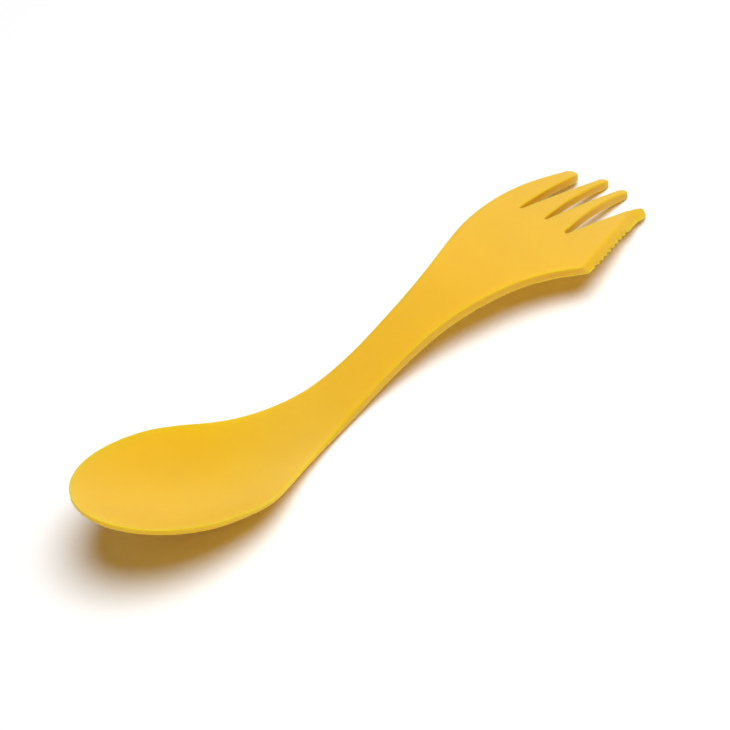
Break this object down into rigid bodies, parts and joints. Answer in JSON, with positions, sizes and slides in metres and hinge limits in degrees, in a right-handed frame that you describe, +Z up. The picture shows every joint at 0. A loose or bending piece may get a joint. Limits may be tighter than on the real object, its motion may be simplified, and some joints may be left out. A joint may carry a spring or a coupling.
{
  "type": "spork",
  "caption": "One-piece camping spork: a deep spoon bowl at one end, a waisted handle, and a fork at the other whose outer tine has a bevelled, serrated cutting edge.",
  "frame": {"origin": "On the table, below the middle of the spork's length and width", "axes": "+X from the spoon tip to the tine tips, +Y toward the plain outer tine, +Z up, with the spork lying on its bowl and tine tips"},
  "size_m": [0.1714, 0.038, 0.0219],
  "materials": {
    "moulded_plastic": "satin, solid golden yellow"
  },
  "bodies": {
    "root": {"spoon_bowl": "moulded_plastic", "handle": "moulded_plastic", "fork_palm": "moulded_plastic", "tine_1": "moulded_plastic", "tine_2": "moulded_plastic", "tine_3": "moulded_plastic", "knife_tine": "moulded_plastic"}
  },
  "joints": []
}
